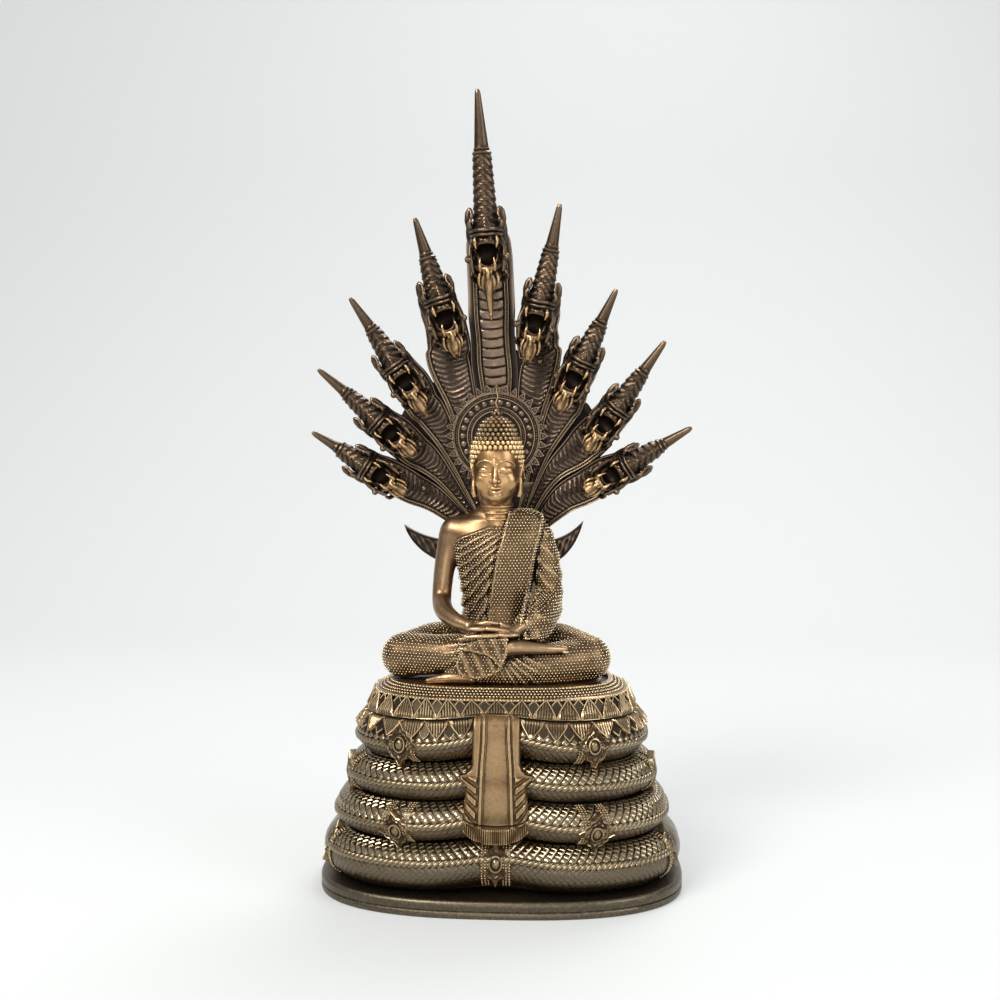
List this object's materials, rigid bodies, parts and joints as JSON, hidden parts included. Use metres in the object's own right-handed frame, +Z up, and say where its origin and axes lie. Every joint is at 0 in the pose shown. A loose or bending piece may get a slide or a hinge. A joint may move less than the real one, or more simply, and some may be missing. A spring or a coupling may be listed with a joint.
{
  "type": "seated buddha figure on a naga throne",
  "caption": "Cast figure seated in meditation on a coiled naga throne with a lotus seat, below a fanned hood of serpent heads, on a flat oval plinth.",
  "frame": {"origin": "middle of the plinth's flat underside", "axes": "+Z up along the figure and the hood, the figure faces -Y, +X is at the viewer's right when facing the figure"},
  "size_m": [0.2216, 0.142, 0.4539],
  "materials": {
    "plinth_bronze": "cast, dull olive-brown patina",
    "throne_bronze": "cast, olive-brown patina, worn bright on the high points",
    "hood_bronze": "cast, dark brown patina, worn on the edges",
    "figure_bronze": "cast, warm golden bronze, darker in the folds"
  },
  "bodies": {
    "root": {"plinth": "plinth_bronze", "coiled_throne": "throne_bronze", "naga_hood": "hood_bronze", "seated_figure": "figure_bronze"}
  },
  "joints": []
}
